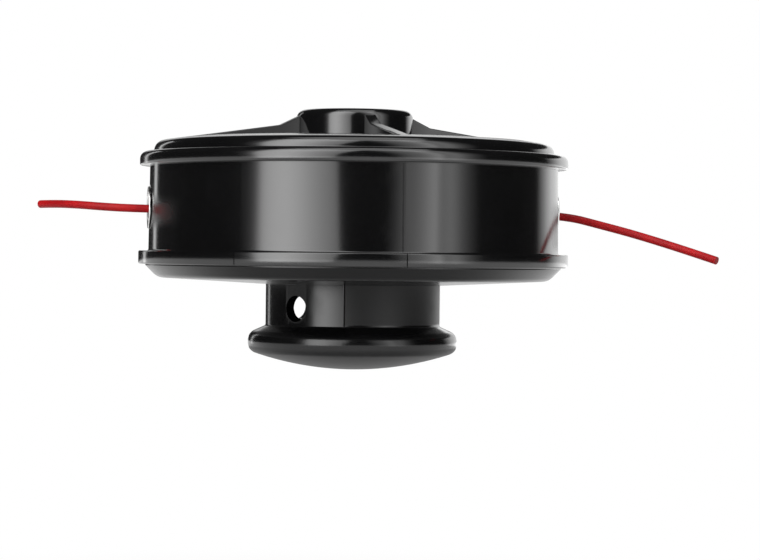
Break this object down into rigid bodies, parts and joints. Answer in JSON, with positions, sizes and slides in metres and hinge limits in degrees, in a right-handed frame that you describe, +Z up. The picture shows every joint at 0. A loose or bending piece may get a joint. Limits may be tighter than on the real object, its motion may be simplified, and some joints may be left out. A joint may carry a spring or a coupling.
{
  "type": "bump feed trimmer head",
  "caption": "Round bump feed head for a line trimmer: flanged drum with metal line eyelets, sprung spool inside, conical cover and a domed knob that is tapped on the ground to let out line.",
  "frame": {"origin": "centre of the hub's top face, at the mouth of the hub thread", "axes": "+Z up along the spin axis out of the hub, +X along the axis of the two eyelets"},
  "size_m": [0.2029, 0.1296, 0.0781],
  "materials": {
    "case_plastic": "glossy black moulded nylon with fine grain",
    "cover_plastic": "satin black moulded nylon",
    "knob_plastic": "glossy black moulded nylon",
    "spool_plastic": "black moulded nylon",
    "nut_steel": "zinc plated steel",
    "eyelet_metal": "polished metal",
    "spring_steel": "bright spring wire",
    "washer_steel": "rolled steel",
    "trimmer_line": "translucent red nylon line"
  },
  "bodies": {
    "case": {"top_case": "case_plastic", "drum": "case_plastic", "hub_nut": "nut_steel", "eyelet_left": "eyelet_metal", "eyelet_right": "eyelet_metal", "bottom_cover": "cover_plastic", "compression_spring": "spring_steel", "line_left": "trimmer_line", "line_right": "trimmer_line"},
    "spring_seat": {"thrust_washer": "washer_steel"},
    "spool_and_knob": {"spool": "spool_plastic", "line_winding_upper": "trimmer_line", "line_winding_lower": "trimmer_line", "bump_knob": "knob_plastic"}
  },
  "joints": [
    {"name": "bump", "type": "slide", "parent": "case", "child": "spring_seat", "axis": [0, 0, 1], "range_m": [0, 0.006], "stiffness_N_per_m": 4000, "springref_m": -0.006, "deforming": ["compression_spring"]},
    {"name": "spool_turn", "type": "hinge", "parent": "spring_seat", "child": "spool_and_knob", "pos_m": [0, 0, 0], "axis": [0, 0, 1], "range_deg": [0, 48]}
  ],
  "couplings": [
    {"joint": "spool_turn", "follows": "bump", "rad_per_m": 139.63}
  ]
}
